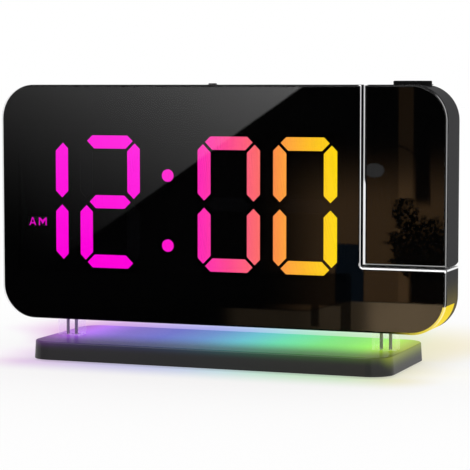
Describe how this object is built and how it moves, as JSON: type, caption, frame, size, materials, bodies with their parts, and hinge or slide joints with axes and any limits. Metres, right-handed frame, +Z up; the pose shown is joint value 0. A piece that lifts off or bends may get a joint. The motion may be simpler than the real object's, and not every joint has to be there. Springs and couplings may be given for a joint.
{
  "type": "mirror projection alarm clock",
  "caption": "Free-standing mirror alarm clock with glowing digits, a lit lower edge, a projector arm that tilts back and turns a focus ring, on clear legs and a flat base.",
  "frame": {"origin": "middle of the base pad's underside", "axes": "+X to the right seen from the front, +Y to the rear, +Z up; the mirror faces -Y"},
  "size_m": [0.19, 0.059, 0.1137],
  "materials": {
    "smoked_mirror": "polished smoked half-mirror",
    "casing_plastic": "fine matt grain",
    "key_plastic": "satin",
    "strip_diffuser": "satin light diffuser",
    "digit_glow": "lit lens",
    "smoked_lens": "unlit lens",
    "black_plastic": "moulded",
    "board_green": "solder mask",
    "led_white": "resin",
    "steel": "plated",
    "dark_steel": "blackened",
    "brass_metal": "bright",
    "clear_acrylic": "polished clear",
    "lens_glass": "polished",
    "white_plastic": "moulded",
    "lead_cover": "sleeved wire",
    "base_plastic": "satin",
    "pad_rubber": "ribbed"
  },
  "bodies": {
    "body": {"mirror_panel": "smoked_mirror", "casing": "casing_plastic", "back_cover": "casing_plastic", "battery_door": "casing_plastic", "light_strip": "strip_diffuser", "digit_segments_lit": "digit_glow", "colon": "digit_glow", "am_indicator": "digit_glow", "digit_segments_unlit": "smoked_lens", "digit_reflector": "black_plastic", "controller_chip": "black_plastic", "buzzer": "black_plastic", "tact_switches": "black_plastic", "top_switch": "black_plastic", "inlet_tongue": "black_plastic", "main_board": "board_green", "light_strip_flex": "board_green", "display_leds": "led_white", "light_strip_leds": "led_white", "back_cover_screws": "steel", "battery_door_screw": "steel", "base_screws": "steel", "inlet_shell": "steel", "coin_cell": "steel", "clock_crystal": "steel", "hinge_washer": "steel", "base_weight": "steel", "leg_pins": "dark_steel", "cell_contacts": "brass_metal", "hinge_bush": "brass_metal", "clear_leg_left": "clear_acrylic", "clear_leg_right": "clear_acrylic", "lead_socket": "white_plastic", "base_cover": "base_plastic", "bottom_plate": "base_plastic", "base_pad": "pad_rubber"},
    "arm": {"arm_casing": "casing_plastic", "arm_mirror": "smoked_mirror", "hinge_shaft": "steel", "hinge_clip": "steel", "projector_housing": "black_plastic", "housing_screws": "steel", "projection_lcd": "lens_glass", "condenser_lens": "lens_glass", "condenser_spacer": "black_plastic", "projector_board": "board_green", "projector_led": "led_white", "projector_lead": "lead_cover"},
    "focus": {"focus_ring": "casing_plastic"},
    "lens": {"lens_barrel": "black_plastic", "projection_lens": "lens_glass"},
    "top_button": {"top_button": "key_plastic"},
    "key_mode": {"key_mode": "key_plastic"},
    "key_up": {"key_up": "key_plastic"},
    "key_down": {"key_down": "key_plastic"},
    "key_alarm": {"key_alarm": "key_plastic"},
    "key_projector": {"key_projector": "key_plastic"}
  },
  "joints": [
    {"name": "projector_tilt", "type": "hinge", "parent": "body", "child": "arm", "pos_m": [0.0613, -0.0007, 0.06151], "axis": [-1, 0, 0], "range_deg": [0, 90]},
    {"name": "focus_turn", "type": "hinge", "parent": "arm", "child": "focus", "pos_m": [0.07835, -0.0034, 0.1122], "axis": [0, 0, 1], "range_deg": [-75, 75]},
    {"name": "lens_slide", "type": "slide", "parent": "arm", "child": "lens", "axis": [0, 0, 1], "range_m": [-0.00099, 0.00099]},
    {"name": "top_button_press", "type": "slide", "parent": "body", "child": "top_button", "axis": [0, 0, -1], "range_m": [0, 0.0004], "stiffness_N_per_m": 500},
    {"name": "key_mode_press", "type": "slide", "parent": "body", "child": "key_mode", "axis": [0, -1, 0], "range_m": [0, 0.0006], "stiffness_N_per_m": 400},
    {"name": "key_up_press", "type": "slide", "parent": "body", "child": "key_up", "axis": [0, -1, 0], "range_m": [0, 0.0006], "stiffness_N_per_m": 400},
    {"name": "key_down_press", "type": "slide", "parent": "body", "child": "key_down", "axis": [0, -1, 0], "range_m": [0, 0.0006], "stiffness_N_per_m": 400},
    {"name": "key_alarm_press", "type": "slide", "parent": "body", "child": "key_alarm", "axis": [0, -1, 0], "range_m": [0, 0.0006], "stiffness_N_per_m": 400},
    {"name": "key_projector_press", "type": "slide", "parent": "body", "child": "key_projector", "axis": [0, -1, 0], "range_m": [0, 0.0006], "stiffness_N_per_m": 400}
  ],
  "couplings": [
    {"joint": "focus_turn", "follows": "lens_slide", "rad_per_m": 1315.8}
  ]
}
